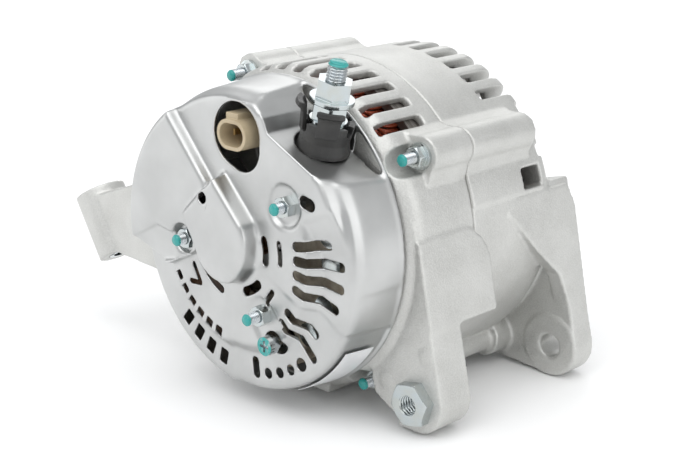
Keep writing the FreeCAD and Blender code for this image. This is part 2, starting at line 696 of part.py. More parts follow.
def nut(across, bore, y_start, height, centre, turn=0, flange=0):
    """A hexagon nut, with a flange on its +Y side where flange gives that radius."""
    body = hexagon(across, y_start, y_start + height, centre, turn)
    chamfer = revolved([(y_start, 0), (y_start, across * 0.49), (y_start + 0.8, across * 0.59),
                        (y_start + height, across * 0.59), (y_start + height, 0)])
    body = body.common(chamfer.translated(V(centre.x, 0, centre.z)))
    if flange:
        body = body.fuse(cylinder(flange, y_start + height - 1.4, y_start + height, centre))
    return body.cut(cylinder(bore, y_start - 1, y_start + height + 1, centre))


def through_studs():
    studs = [cylinder(size("bolt_radius"), 0, size("bolt_end"), place) for place in bolt_places()]
    grouped("through_studs", studs)
    height = size("bolt_nut_height")
    seat = size("boss_rear")
    nuts = [nut(size("bolt_nut_across"), size("bolt_radius"), seat - height, height, place, 10, 5.6)
            for place in bolt_places()]
    grouped("through_stud_nuts", nuts)


def cover_fasteners():
    tips = (-43, -41.5, -43)
    studs = []
    nuts = []
    for (x, z), tip, turn in zip(cover_stud_places(), tips, (8, 20, 35)):
        centre = V(x, 0, z)
        shank_end = post_end(x)
        studs.append(cylinder(size("cover_stud_radius"), tip, shank_end, centre).fuse(
            cylinder(size("cover_stud_radius") - 0.6, shank_end - 1, size("rear_face") - 1, centre)))
        height = size("cover_nut_height")
        nut_end = shank_end - size("cover_sheet")
        nuts.append(nut(size("cover_nut_across"), size("cover_stud_radius"), nut_end - height, height, centre,
                        turn))
    grouped("cover_studs", studs)
    grouped("cover_nuts", nuts)


def terminal_screw():
    """Cross-recess screw that ties the brush lead to the rectifier."""
    centre = screw_place()
    seat = size("screw_seat")
    head = cylinder(4, seat - 5.4, seat - 2.8, centre).fuse(hexagon(7, seat - 3, seat, centre))
    recess = seat - 5.9
    upright = Part.makeBox(1.2, 1.6, 5, centre + V(-0.6, recess, -2.5))
    cross = upright.fuse(Part.makeBox(5, 1.6, 1.2, centre + V(-2.5, recess, -0.6)))
    shaped("terminal_screw", head.cut(cross).fuse(cylinder(2, seat - 0.2, seat + 13.6, centre)))


def output_hexagon(across, start, end, bore):
    corner = across / math.sqrt(3)
    side = V(math.sin(math.radians(size("saddle_angle"))), 0, -math.cos(math.radians(size("saddle_angle"))))
    points = []
    for step in range(7):
        angle = math.radians(60 * step + 12)
        points.append(output_foot() + output_axis() * start + side * (corner * math.cos(angle))
                      + V(0, corner * math.sin(angle), 0))
    body = Part.Face(Part.makePolygon(points)).extrude(output_axis() * (end - start))
    return body.cut(output_cylinder(bore, start - 1, end + 1))


def about_output(points):
    """Revolve (height, radius) points about the output stud's axis."""
    corners = [V(radius, 0, height) for height, radius in points]
    turned_shape = Part.Face(Part.makePolygon(corners + corners[:1])).revolve(V(0, 0, 0), V(0, 0, 1), 360)
    return turned_shape


def stood_on_output(shape):
    """Move a shape from the output stud's own frame, Z along the stud, to its place."""
    shape.rotate(V(0, 0, 0), V(0, 1, 0), 90 - size("saddle_angle"))
    shape.translate(output_foot())
    return shape


def insulator():
    """A cup round the output stud, with three horns that curl outward and a notch beside each."""
    radius = size("insulator_radius")
    height = size("insulator_height")
    tip = size("finger_height")
    wall = about_output([(0, 7.9), (0, radius), (1.5, radius), (height * 0.42, radius - 0.9),
                         (height - 3, radius - 0.1),
                         (height, radius + 0.2), (height, radius - 2.2), (height - 0.6, 7.9)])
    curl = about_output([(height - 6, radius - 2), (height - 4, radius), (height + 3, radius + 0.6),
                         (tip - 3, radius + 1.4), (tip - 1.6, radius + 3.2), (tip, radius + 2.6),
                         (tip - 0.4, radius + 0.4), (tip - 3, radius - 1), (height, radius - 1.6)])
    horns = []
    notches = []
    for direction in (44, 134, 224):
        wedge = sector(0, 30, direction - 24, direction + 24, 0, 40)
        wedge.rotate(V(0, 0, 0), V(1, 0, 0), 90)
        horns.append(curl.common(wedge))
        for side in (-31, 31):
            notch = Part.makeCylinder(2, 30, V(0, 0, height - 2), V(1, 0, 0))
            notch = notch.fuse(Part.makeBox(30, 4, 20, V(0, -2, height - 2)))
            notch.rotate(V(0, 0, 0), V(0, 0, 1), direction + side)
            notches.append(notch)
    sleeve = Part.makeCylinder(8.1, 6.5, V(0, 0, -6))
    body = wall.fuse(sleeve).fuse(Part.makeCylinder(8.5, height - 1)).cut(fused(notches)).fuse(fused(horns))
    return stood_on_output(body.cut(Part.makeCylinder(size("output_core"), 60, V(0, 0, -8)))
                           .cut(Part.makeCylinder(7.9, 40, V(0, 0, height - 0.6))))


def output_terminal():
    """The output stud with its washer, lower nut and flange nut; its end is free for a ring terminal."""
    core = size("output_core")
    seat = size("insulator_height") - 0.6
    shaped("output_insulator", insulator())
    washer = output_cylinder(7.6, seat, seat + 1.4)
    shaped("output_washer", washer.cut(output_cylinder(core, seat - 1, seat + 3)))
    shaped("output_lower_nut", output_hexagon(size("output_across"), seat + 1.4, seat + 7.4, core))
    flange_seat = seat + 8.6
    nut_top = flange_seat + 9
    flange = output_cylinder(9, flange_seat, flange_seat + 1.8)
    flange = flange.cut(output_cylinder(core, flange_seat - 1, flange_seat + 3))
    hexagon = output_hexagon(size("output_across"), flange_seat + 1.5, nut_top, core)
    shaped("output_flange_nut", hexagon.fuse(flange))
    free_end = output_cylinder(size("output_radius"), nut_top, size("output_length"))
    shaped("output_stud", output_cylinder(core, -14, nut_top).fuse(free_end))


def pivot_and_ear_fittings():
    centre = pivot_centre()
    face = size("rear_lug_face")
    head = size("insert_head")
    insert = nut(size("insert_across"), 1, face - head, head, centre, 12)
    lug_end = face + size("rear_lug_thickness")
    insert = insert.fuse(cylinder(size("insert_radius"), face - 0.5, lug_end, centre))
    insert = insert.cut(cylinder(size("insert_bore_radius"), face - head - 1, 30, centre))
    shaped("pivot_insert", insert)
    bush = ear_cylinder(size("ear_bush_radius"), size("ear_length"))
    bush = bush.cut(ear_cylinder(size("ear_bore_radius"), size("ear_length") + 2))
    split = Part.makeBox(1, 6, size("ear_length") + 4, V(-0.5, -8, -size("ear_length") / 2 - 2))
    split.rotate(V(0, 0, 0), V(0, 1, 0), -size("ear_tilt"))
    split.translate(ear_centre())
    shaped("ear_bush", bush.cut(split))


def connector():
    """Two-pin oval socket that stands out of the brush holder through the cover."""
    face = size("connector_face")
    depth = size("connector_length")
    centre_x = size("connector_x")
    centre_z = size("connector_z")
    half = (size("connector_width") - size("connector_depth")) / 2

    def oval(width, y_start, y_end):
        return slot((centre_x - half, centre_z), (centre_x + half, centre_z), width, y_start, y_end)

    outer = oval(size("connector_depth"), face, face + depth)
    inner = oval(size("connector_depth") - 2 * size("connector_wall"), face - 1, face + size("connector_floor"))
    latch_z = centre_z + size("connector_depth") / 2 - 1
    latch = Part.makeBox(7, 11, 3.4, V(centre_x - 4.5, face + 1.6, latch_z))
    base = Part.makeBox(17, 6, 13, V(centre_x - 8, face + depth - 6, centre_z - 8.5))
    shell = outer.fuse(latch).fuse(base).cut(inner)
    pins = []
    for side in (-1, 1):
        pin_x = centre_x + side * 3.6
        pins.append(Part.makeBox(0.8, 16.4, 2.4, V(pin_x - 0.4, face + 5, centre_z - 1.2)))
        shell = shell.cut(Part.makeBox(0.8, 5, 2.4, V(pin_x - 0.4, face + 16.4, centre_z - 1.2)))
    shaped("field_connector", shell)
    grouped("connector_terminals", pins)


through_studs()
cover_fasteners()
terminal_screw()
output_terminal()
pivot_and_ear_fittings()
connector()

# ---------------------------------------------------------------------------------------------
# Rotor


def rotor_shaft():
    turned("rotor_shaft", [
        ("0", "0"), ("0", "ring_core_radius"), ("rear_bearing - shaft_rear - 3", "ring_core_radius"),
        ("rear_bearing - shaft_rear - 3", "rear_seat_radius"),
        ("rear_bearing + rear_bearing_width - shaft_rear", "rear_seat_radius"),
        ("rear_bearing + rear_bearing_width - shaft_rear", "shaft_radius"),
        ("pole_rear - shaft_rear", "shaft_radius"), ("pole_rear - shaft_rear", "pole_seat_radius"),
        ("pole_front - shaft_rear", "pole_seat_radius"), ("pole_front - shaft_rear", "shaft_radius"),
        ("pulley_rear + pulley_length - shaft_rear - 4", "shaft_radius"),
        ("pulley_rear + pulley_length - shaft_rear - 4", "shaft_radius - 0.8"),
        ("shaft_length - 1", "shaft_radius - 0.8"), ("shaft_length", "shaft_radius - 1.8"),
        ("shaft_length", "0")], "shaft_rear")


def claw(disc_end, tip):
    """One claw along +Y or -Y, from its disc to its tip, at angle zero."""
    outer = size("pole_radius")
    sections = []
    for y, width, thickness in ((disc_end, size("claw_root"), size("claw_thickness")),
                                (tip, size("claw_tip"), size("claw_tip_thickness"))):
        half = width / 2
        inner = outer - thickness
        corners = [V(outer + 1, y, -half), V(outer + 1, y, half), V(inner, y, half), V(inner, y, -half)]
        sections.append(Part.makePolygon(corners + corners[:1]))
    return Part.makeLoft(sections, True, True)


def claw_pole(label, disc_start, disc_end, tip, first_angle):
    outer = size("pole_radius")
    low = min(disc_start, disc_end)
    high = max(disc_start, disc_end)
    middle = (size("pole_rear") + size("pole_front")) / 2
    disc = cylinder(outer - size("claw_thickness") + 2, low, high)
    half = size("claw_root") / 2
    arms = [prism([(20, -half), (outer + 1, -half), (outer + 1, half), (20, half)], low, high),
            claw(disc_end, tip)]
    arm = fused(arms)
    count = int(size("claw_count"))
    body = disc.multiFuse([turned_about_y(arm, first_angle + 360 / count * step) for step in range(count)])
    core = cylinder(size("core_radius"), min(disc_end, middle), max(disc_end, middle))
    body = body.fuse(core).common(cylinder(outer, low - 60, high + 60))
    shaped(label, body.cut(cylinder(size("pole_seat_radius"), low - 60, high + 60)))


def field_winding():
    start = size("pole_rear") + size("pole_disc")
    end = size("pole_front") - size("pole_disc")
    wall = size("bobbin_wall")
    core = size("core_radius")
    coil = size("coil_radius")
    turned("coil_bobbin", [
        ("0", "core_radius"), ("0", "coil_radius + 0.6"), ("bobbin_wall", "coil_radius + 0.6"),
        ("bobbin_wall", "core_radius + bobbin_wall"),
        ("pole_front - pole_rear - 2 * pole_disc - bobbin_wall", "core_radius + bobbin_wall"),
        ("pole_front - pole_rear - 2 * pole_disc - bobbin_wall", "coil_radius + 0.6"),
        ("pole_front - pole_rear - 2 * pole_disc", "coil_radius + 0.6"),
        ("pole_front - pole_rear - 2 * pole_disc", "core_radius")], "pole_rear + pole_disc")
    shaped("field_coil", ring(coil, core + wall, start + wall, end - wall))


def fan(label, disc_start, disc_end, blade_end):
    """A pressed fan: a disc with curved blades bent up along Y."""
    outer = size("fan_radius")
    low = min(disc_start, disc_end)
    disc = ring(outer - 12, size("shaft_radius") + 6, low, low + size("fan_sheet"))
    blades = []
    blade_low = min(disc_start, blade_end)
    blade_high = max(disc_end, blade_end)
    count = int(size("blade_count"))
    for step in range(count):
        curve = cylinder(16, blade_low, blade_high, V(outer - 9, 0, 15)).cut(
            cylinder(14.6, blade_low - 1, blade_high + 1, V(outer - 9, 0, 15)))
        blade = curve.common(Part.makeBox(18, 60, 14, V(outer - 17, blade_low - 1, -4)))
        foot = prism([(outer - 14, -3), (outer - 2, -3), (outer - 2, 8), (outer - 14, 8)], low,
                     low + size("fan_sheet"))
        blades.append(turned_about_y(blade.fuse(foot), 360 / count * step + (step % 3) * 2.5))
    shaped(label, disc.multiFuse(blades).common(cylinder(outer, low - 20, low + 20)))


def slip_rings():
    turned("slip_ring_sleeve", [
        ("0", "ring_core_radius"), ("0", "sleeve_radius"), ("-rear_ring - 15.5", "sleeve_radius"),
        ("-rear_ring - 15.5", "ring_core_radius")], "rear_ring - 0.5")
    for label, start in (("rear_slip_ring", "rear_ring"), ("front_slip_ring", "front_ring")):
        turned(label, [("0", "sleeve_radius"), ("0", "slip_radius"), ("ring_width", "slip_radius"),
                       ("ring_width", "sleeve_radius")], start)


def pulley():
    """Seven-groove belt pulley, open towards its nut."""
    outer = size("pulley_radius")
    length = size("pulley_length")
    pitch = size("groove_pitch")
    count = int(size("groove_count"))
    band = pitch * count
    start = size("belt_plane") - size("pulley_rear") - band / 2
    bore = size("shaft_radius")
    rim = outer + 1.6
    points = [(0, bore), (0, rim), (start - 0.6, rim), (start, outer)]
    for step in range(count):
        low = start + pitch * step
        points.append((low + pitch / 2, outer - size("groove_depth")))
        points.append((low + pitch, outer))
    points += [(start + band + 0.6, rim), (length - 0.5, rim), (length, rim - 0.6), (length, outer - 4),
               (length - 12, outer - 8), (length - 12, 16), (length - 4, 15), (length - 4, bore)]
    shaped("pulley", revolved([(y + size("pulley_rear"), radius) for y, radius in points]))
    end = size("pulley_rear") + length - 4
    height = size("pulley_nut_height")
    thread = size("shaft_radius") - 0.8
    body = nut(size("pulley_nut_across"), thread, end, height, V(0, 0, 0), 5)
    shaped("pulley_nut", body.fuse(ring(14, thread, end, end + 1.6)))
    gap = "pulley_rear - front_bearing - front_bearing_width"
    turned("pulley_spacer", [("0", "shaft_radius"), ("0", "shaft_radius + 3"), (gap, "shaft_radius + 3"),
                             (gap, "shaft_radius")], "front_bearing + front_bearing_width")


rotor_shaft()
claw_pole("rear_claw_pole", size("pole_rear"), size("pole_rear") + size("pole_disc"),
          size("pole_front") - 3, 0)
claw_pole("front_claw_pole", size("pole_front"), size("pole_front") - size("pole_disc"),
          size("pole_rear") + 3, 30)
field_winding()
fan("rear_fan", size("pole_rear") - size("fan_sheet"), size("pole_rear"),
    size("pole_rear") - size("fan_sheet") - size("rear_blade"))
fan("front_fan", size("pole_front"), size("pole_front") + size("fan_sheet"),
    size("pole_front") + size("fan_sheet") + size("front_blade"))
slip_rings()
pulley()

# ---------------------------------------------------------------------------------------------
# Bearings


def ball_bearing(name, start, width, bore, outer, ball_radius, ball_count):
    """A deep-groove ball bearing: two races, a cage and its balls, in running clearance."""
    pitch_radius = (bore + outer) / 2
    middle = start + width / 2
    groove = Part.makeTorus(pitch_radius, ball_radius + 0.05, V(0, middle, 0), Y_AXIS)
    inner = ring(pitch_radius - ball_radius * 0.45, bore, start, start + width)
    outer_race = ring(outer, pitch_radius + ball_radius * 0.45, start, start + width)
    shaped(name + "_inner_race", inner.cut(groove))
    shaped(name + "_outer_race", outer_race.cut(groove))
    balls = []
    pockets = []
    for step in range(ball_count):
        centre = at_angle(pitch_radius, 360 / ball_count * step, middle)
        balls.append(Part.makeSphere(ball_radius, centre))
        outward = at_angle(1, 360 / ball_count * step)
        foot = centre - outward * ball_radius
        pockets.append(Part.makeCylinder(ball_radius + 0.05, ball_radius * 2, foot, outward))
    grouped(name + "_balls", balls)
    cage_half = ball_radius * 0.28
    cage = ring(pitch_radius + cage_half, pitch_radius - cage_half, start + 1, start + width - 1)
    shaped(name + "_cage", cage.cut(fused(pockets)))


def bearing_retainer():
    start = size("retainer_y")
    end = start + size("retainer_thickness")
    plate = ring(size("front_hub_radius"), 18, start, end)
    holes = [cylinder(2.1, start - 1, end + 1, place) for place in retainer_screw_places()]
    shaped("bearing_retainer", plate.cut(fused(holes)))
    screws = [cylinder(3.6, start - 2, start, place).fuse(cylinder(2, start - 1, end + 8, place))
              for place in retainer_screw_places()]
    grouped("retainer_screws", screws)


ball_bearing("rear_bearing", size("rear_bearing"), size("rear_bearing_width"), size("rear_seat_radius"),
             size("rear_bearing_radius"), 3, 8)
ball_bearing("front_bearing", size("front_bearing"), size("front_bearing_width"), size("shaft_radius"),
             size("front_bearing_radius"), 4.2, 7)
bearing_retainer()

# ---------------------------------------------------------------------------------------------
# Stator


def stator():
    start = size("stator_rear")
    end = size("stator_front")
    bore = size("stator_bore")
    depth = size("slot_depth")
    count = int(size("stator_slots"))
    core = ring(size("housing_inner_radius"), bore, start, end)
    bottom = bore + depth
    gap = prism([(bore - 2, -2.2), (bottom, -2.6), (bottom, 2.6), (bore - 2, 2.2)], start - 1, end + 1)
    bar = prism([(bore + 1, -2.2), (bore + depth, -2.6), (bore + depth, 2.6), (bore + 1, 2.2)], start, end)
    bar = bar.common(gap)
    gaps = [turned_about_y(gap, 360 / count * step) for step in range(count)]
    bars = [turned_about_y(bar, 360 / count * step) for step in range(count)]
    shaped("stator_core", core.cut(Part.makeCompound(gaps)))
    inner = size("end_turn_inner")
    outer = size("end_turn_outer")
    reach = size("end_turn")
    turns = []
    for near, far in ((start, start - reach), (end, end + reach)):
        sign = 1 if far > near else -1
        turns.append(revolved([(near, inner), (near, outer - 1), (far - sign * 3, outer), (far, outer - 3),
                               (far, inner + 2.5), (far - sign * 3, inner)]))
    shaped("stator_winding", turns[0].multiFuse(turns[1:] + bars))


stator()

# ---------------------------------------------------------------------------------------------
# Brush gear


def brush_frame(shape):
    """Move a shape from the brush frame (X outward from the shaft) to its place."""
    return turned_about_y(shape, size("brush_angle"))


def brush_box(x_start, x_end, y_start, y_end, half):
    return Part.makeBox(x_end - x_start, y_end - y_start, 2 * half, V(x_start, y_start, -half))


def brush_gear():
    half = size("holder_half")
    inner = size("holder_inner")
    outer = size("holder_outer")
    rear = size("holder_rear")
    front = size("holder_front")
    clearance = size("brush_clearance")
    brush_half = size("brush_width") / 2
    axial = size("brush_axial")
    contact = size("slip_radius") + 0.05
    holder = brush_box(inner, outer, rear, front, half)
    holder = holder.fuse(brush_box(inner + 14, outer, rear + 5.8, front, half + 4))
    for name, ring_start in (("rear", size("rear_ring")), ("front", size("front_ring"))):
        middle = ring_start + size("ring_width") / 2
        low = middle - axial / 2
        channel = brush_box(inner - 1, outer - 2, low - clearance, low + axial + clearance,
                            brush_half + clearance)
        holder = holder.cut(channel)
        brush = brush_box(contact - 1, contact + size("brush_length"), low, low + axial, brush_half)
        brush = brush.cut(cylinder(contact, low - 1, low + axial + 1))
        shaped(name + "_brush", brush_frame(brush))
        spring_start = contact + size("brush_length")
        coil = Part.makeHelix(1.9, outer - 2.5 - spring_start, 1.9)
        wire = Part.Wire(coil.Edges)
        eighths = [math.radians(45 * step) for step in range(8)]
        corners = [V(1.9 + 0.25 * math.cos(angle), 0, 0.25 * math.sin(angle)) for angle in eighths]
        section = Part.makePolygon(corners + corners[:1])
        spring = wire.makePipeShell([section], True, True)
        spring.rotate(V(0, 0, 0), V(0, 1, 0), 90)
        spring.translate(V(spring_start + 0.25, middle, 0))
        shaped(name + "_brush_spring", brush_frame(spring))
    shaped("brush_holder", brush_frame(holder))


brush_gear()

# ---------------------------------------------------------------------------------------------
# Rectifier


def rectifier():
    posts = [cylinder(5.4, -40, 0, V(x, 0, z)) for x, z in cover_stud_places()]
    screw = cylinder(3, -60, 0, screw_place())
    keep_off = fused(posts + [screw])
    positive = sector(24, 55, -100, 30, -22.5, -19.5)
    negative = sector(26, 57, -150, 40, -11.5, -8.5)
    pressed = []
    for index, angle in enumerate((-92, -66, 0, 14, -24, -44)):
        pressed.append(at_angle(47, angle))
    cells = [cylinder(5, -25.5, -18, place) for place in pressed]
    lower = [at_angle(48, angle) for angle in (-140, -120, -100, -76, -34, 5)]
    lower_cells = [cylinder(5, -13.5, -6.5, place) for place in lower]
    block = sector(30, 52, -150, -104, -26, -14).fuse(sector(33, 44, -100, 30, -17.5, -14))
    block = block.cut(keep_off)
    shaped("positive_heat_sink", positive.cut(keep_off).cut(fused(cells)).cut(output_cylinder(10, -16, 0)))
    shaped("negative_heat_sink", negative.cut(keep_off).cut(fused(lower_cells)))
    clear_of_block = fused([block, keep_off])
    grouped("positive_diodes", [cell.cut(clear_of_block) for cell in cells])
    grouped("negative_diodes", [cell.cut(clear_of_block) for cell in lower_cells])
    shaped("rectifier_terminal_block", block)


rectifier()


def cover_label():
    """A plain thin label that lies on the tapered flank of the cover."""
    foot = size("cover_foot_radius")
    taper = (foot - size("cover_brow_radius")) / (size("cover_rim") - size("level_outer") - 4)
    band = []
    for height, lift in ((-24, 0.02), (-9, 0.02), (-9, 0.22), (-24, 0.22)):
        band.append((height, foot + taper * (height - size("cover_rim")) + lift))
    wedge = sector(60, 75, -66, -34, -25, -8)
    shaped("cover_label", revolved(band).common(wedge))


cover_label()


def finish():
    """Check every object, then write each sub-part's shape."""
    doc.recompute()
    for item in doc.Objects:
        states = [state for state in item.State if state in ("Invalid", "Error")]
        if states:
            raise RuntimeError(f"{item.Label} is {states}")
    os.makedirs("parts", exist_ok=True)
    for feature in SUB_PARTS:
        shape = feature.Shape
        if shape.isNull() or not shape.isValid() or not shape.Solids:
            raise RuntimeError(f"{feature.Label} has no valid solid")
        shape.exportStep(f"parts/{feature.Label}.step")
        print(feature.Label, "solids", len(shape.Solids), "volume", round(shape.Volume))


finish()
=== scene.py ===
import json
import math

import bmesh
import bpy
import numpy
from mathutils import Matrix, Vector
from mathutils.bvhtree import BVHTree


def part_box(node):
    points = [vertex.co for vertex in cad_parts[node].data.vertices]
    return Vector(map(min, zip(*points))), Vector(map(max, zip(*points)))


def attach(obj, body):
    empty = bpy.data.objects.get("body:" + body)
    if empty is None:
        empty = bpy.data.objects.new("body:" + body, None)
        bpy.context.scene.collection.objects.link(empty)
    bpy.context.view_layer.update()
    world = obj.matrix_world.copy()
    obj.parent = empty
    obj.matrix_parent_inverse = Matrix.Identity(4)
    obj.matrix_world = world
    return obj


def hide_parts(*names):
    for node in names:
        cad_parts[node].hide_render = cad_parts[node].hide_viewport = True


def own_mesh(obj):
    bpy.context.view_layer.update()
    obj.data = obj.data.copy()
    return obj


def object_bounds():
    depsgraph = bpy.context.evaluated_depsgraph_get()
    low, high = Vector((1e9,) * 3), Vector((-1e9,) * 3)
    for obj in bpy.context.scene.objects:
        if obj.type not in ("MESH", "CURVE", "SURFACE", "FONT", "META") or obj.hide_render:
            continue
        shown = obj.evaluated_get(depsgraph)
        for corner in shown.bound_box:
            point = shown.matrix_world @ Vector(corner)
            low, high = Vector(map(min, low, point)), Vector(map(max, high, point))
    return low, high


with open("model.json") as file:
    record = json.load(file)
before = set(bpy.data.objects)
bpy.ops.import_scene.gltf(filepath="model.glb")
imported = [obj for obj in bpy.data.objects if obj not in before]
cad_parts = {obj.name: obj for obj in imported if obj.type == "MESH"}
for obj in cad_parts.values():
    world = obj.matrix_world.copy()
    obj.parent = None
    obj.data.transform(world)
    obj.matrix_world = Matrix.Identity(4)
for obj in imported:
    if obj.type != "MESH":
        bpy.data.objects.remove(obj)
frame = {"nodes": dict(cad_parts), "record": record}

# A car alternator: what the CAD frame can't carry is made here, which is the cast and pressed skins with
# rounded edges, threads, wire bundles and the materials.

MM = 0.001
CAD_BOX = [list(corner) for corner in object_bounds()]
NODES = frame["nodes"]
SLOT_OF = {part["node"]: part["material_slot"] for part in frame["record"]["subparts"]}
BODY_OF = {node: body for body, names in frame["record"]["behaviour"]["bodies"].items() for node in names}
MOUNTS = {mount["name"]: mount for mount in frame["record"]["mounts"]}

# Metric threads as (major radius, pitch)
M5 = (2.5 * MM, 0.8 * MM)
M8 = (4 * MM, 1.25 * MM)
M10 = (5 * MM, 1.5 * MM)
# Where the through-studs stand round the shaft
STUD_CIRCLE = 72 * MM
STUD_ANGLE = math.radians(33.35)

# ---------------------------------------------------------------------------------------------
# Camera, floor and light


def camera():
    data = bpy.data.cameras.new("photo_camera")
    data.sensor_width = 36
    data.lens = 75.96
    data.clip_start = 0.05
    data.clip_end = 60
    view = bpy.data.objects.new("photo_camera", data)
    view.location = (0.43602, -0.52666, 0.17825)
    view.rotation_euler = (math.radians(73.289), 0, math.radians(44.204))
    bpy.context.collection.objects.link(view)
    bpy.context.scene.camera = view


def area_light(name, place, target, width, height, power):
    data = bpy.data.lights.new(name, "AREA")
    data.shape = "RECTANGLE"
    data.size = width
    data.size_y = height
    data.energy = power
    light = bpy.data.objects.new(name, data)
    light.location = place
    light.rotation_euler = (Vector(target) - Vector(place)).to_track_quat("-Z", "Y").to_euler()
    bpy.context.collection.objects.link(light)


def sun(name, direction, strength, spread):
    """A wide distant light that shines along direction, spread degrees across."""
    data = bpy.data.lights.new(name, "SUN")
    data.energy = strength
    data.angle = math.radians(spread)
    light = bpy.data.objects.new(name, data)
    light.rotation_euler = Vector(direction).to_track_quat("-Z", "Y").to_euler()
    bpy.context.collection.objects.link(light)


def studio():
    """White surroundings, a wide overhead light and four softboxes."""
    world = bpy.data.worlds.new("studio")
    world.use_nodes = True
    background = world.node_tree.nodes["Background"]
    background.inputs["Color"].default_value = (0.97, 0.985, 1.0, 1)
    background.inputs["Strength"].default_value = 0.62
    bpy.context.scene.world = world
    bpy.context.scene.view_settings.view_transform = "Standard"
    middle = (0, -0.06, 0)
    sun("overhead", (-0.15, 0.3, -1), 1.55, 70)
    area_light("back_box", (-0.75, 0.85, 0.80), middle, 1.0, 0.8, 3.2)
    area_light("front_box", (0.05, -1.15, 0.75), middle, 0.9, 0.7, 1.8)
    area_light("left_box", (-1.0, -0.75, 0.35), middle, 0.5, 1.0, 1.7)
    area_light("right_box", (1.25, 0.05, 0.45), middle, 0.75, 1.1, 3.3)


# ---------------------------------------------------------------------------------------------
# Materials


class Shading:
    """A material with a Principled shader, its object coordinates and short ways to add nodes."""

    def __init__(self, name, **sockets):
        self.material = bpy.data.materials.new(name)
        self.material.use_nodes = True
        self.tree = self.material.node_tree
        self.shader = self.tree.nodes["Principled BSDF"]
        self.place = self.tree.nodes.new("ShaderNodeTexCoord").outputs["Object"]
        for socket, value in sockets.items():
            self.shader.inputs[socket.replace("_", " ")].default_value = value

    def link(self, source, target):
        self.tree.links.new(source, target)

    def noise(self, size, detail=3, stretch=None):
        """Noise whose features are about size metres across."""
        noise = self.tree.nodes.new("ShaderNodeTexNoise")
        noise.inputs["Scale"].default_value = 1 / size
        noise.inputs["Detail"].default_value = detail
        source = self.place
        if stretch:
            mapping = self.tree.nodes.new("ShaderNodeMapping")
            mapping.inputs["Scale"].default_value = stretch
            self.link(source, mapping.inputs["Vector"])
            source = mapping.outputs["Vector"]
        self.link(source, noise.inputs["Vector"])
        return noise.outputs["Fac"]

    def ramp(self, value, stops):
        """A colour ramp: (position, colour or grey value) stops."""
        ramp = self.tree.nodes.new("ShaderNodeValToRGB")
        elements = ramp.color_ramp.elements
        while len(elements) < len(stops):
            elements.new(0.5)
        for element, (position, colour) in zip(elements, stops):
            element.position = position
            shade = (colour, colour, colour) if isinstance(colour, (int, float)) else colour
            element.color = (*shade, 1)
        self.link(value, ramp.inputs["Fac"])
        return ramp.outputs["Color"]

    def colour(self, value, stops):
        self.link(self.ramp(value, stops), self.shader.inputs["Base Color"])

    def mixed(self, amount, first, second):
        """Colour first where amount is 0, second where it is 1; each is a colour or a socket."""
        mix = self.tree.nodes.new("ShaderNodeMix")
        mix.data_type = "RGBA"
        self.link(amount, mix.inputs[0])
        for socket, source in ((mix.inputs[6], first), (mix.inputs[7], second)):
            if isinstance(source, tuple):
                socket.default_value = (*source, 1)
            else:
                self.link(source, socket)
        return mix.outputs[2]

    def roughness(self, value, low, high):
        self.link(self.ramp(value, [(0.3, low), (0.7, high)]), self.shader.inputs["Roughness"])

    def bump(self, *layers):
        """Bump layers, each (height socket, depth in metres)."""
        normal = None
        for height, depth in layers:
            bump = self.tree.nodes.new("ShaderNodeBump")
            bump.inputs["Strength"].default_value = 1
            bump.inputs["Distance"].default_value = depth
            self.link(height, bump.inputs["Height"])
            if normal:
                self.link(normal, bump.inputs["Normal"])
            normal = bump.outputs["Normal"]
        self.link(normal, self.shader.inputs["Normal"])

    def edges(self):
        """1 on outer edges, 0 in corners, 0.5 on flats."""
        return self.tree.nodes.new("ShaderNodeNewGeometry").outputs["Pointiness"]

    def along(self, direction):
        """Distance along a direction, in metres."""
        dot = self.tree.nodes.new("ShaderNodeVectorMath")
        dot.operation = "DOT_PRODUCT"
        dot.inputs[1].default_value = direction
        self.link(self.place, dot.inputs[0])
        return dot.outputs["Value"]

    def compare(self, value, threshold, softness, noise, spread):
        """0 where value is under threshold and 1 over it, with an edge that the noise moves about."""
        moved = self.tree.nodes.new("ShaderNodeMath")
        moved.operation = "MULTIPLY_ADD"
        moved.inputs[1].default_value = spread
        self.link(noise, moved.inputs[0])
        self.link(value, moved.inputs[2])
        edge = threshold + spread / 2
        reach = self.tree.nodes.new("ShaderNodeMapRange")
        reach.inputs["From Min"].default_value = edge - softness
        reach.inputs["From Max"].default_value = edge + softness
        self.link(moved.outputs[0], reach.inputs["Value"])
        return reach.outputs["Result"]


def cast_aluminium():
    """Sand-cast and shot-blasted aluminium: matt, mid grey, fine grained, a little brighter on edges."""
    look = Shading("cast_aluminium", Metallic=0.72)
    mottle = look.noise(16 * MM, 4)
    grain = look.noise(0.65 * MM, 2)
    flats = look.ramp(mottle, [(0.3, (0.51, 0.51, 0.49)), (0.7, (0.60, 0.60, 0.58))])
    speckled = look.mixed(look.ramp(grain, [(0.35, 0.0), (0.75, 0.55)]), flats, (0.72, 0.72, 0.70))
    worn = look.mixed(look.ramp(look.edges(), [(0.55, 0.0), (0.68, 0.25)]), speckled, (0.72, 0.72, 0.70))
    # painted shade: the colour goes towards near-black where the surface turns into a corner
    painted_corner_shade = look.mixed(look.ramp(look.edges(), [(0.36, 0.9), (0.47, 0.0)]), worn, (0.17, 0.165, 0.155))
    look.link(painted_corner_shade, look.shader.inputs["Base Color"])
    look.roughness(grain, 0.40, 0.54)
    look.bump((look.noise(6 * MM, 3), 0.22 * MM), (grain, 0.15 * MM))
    return look.material


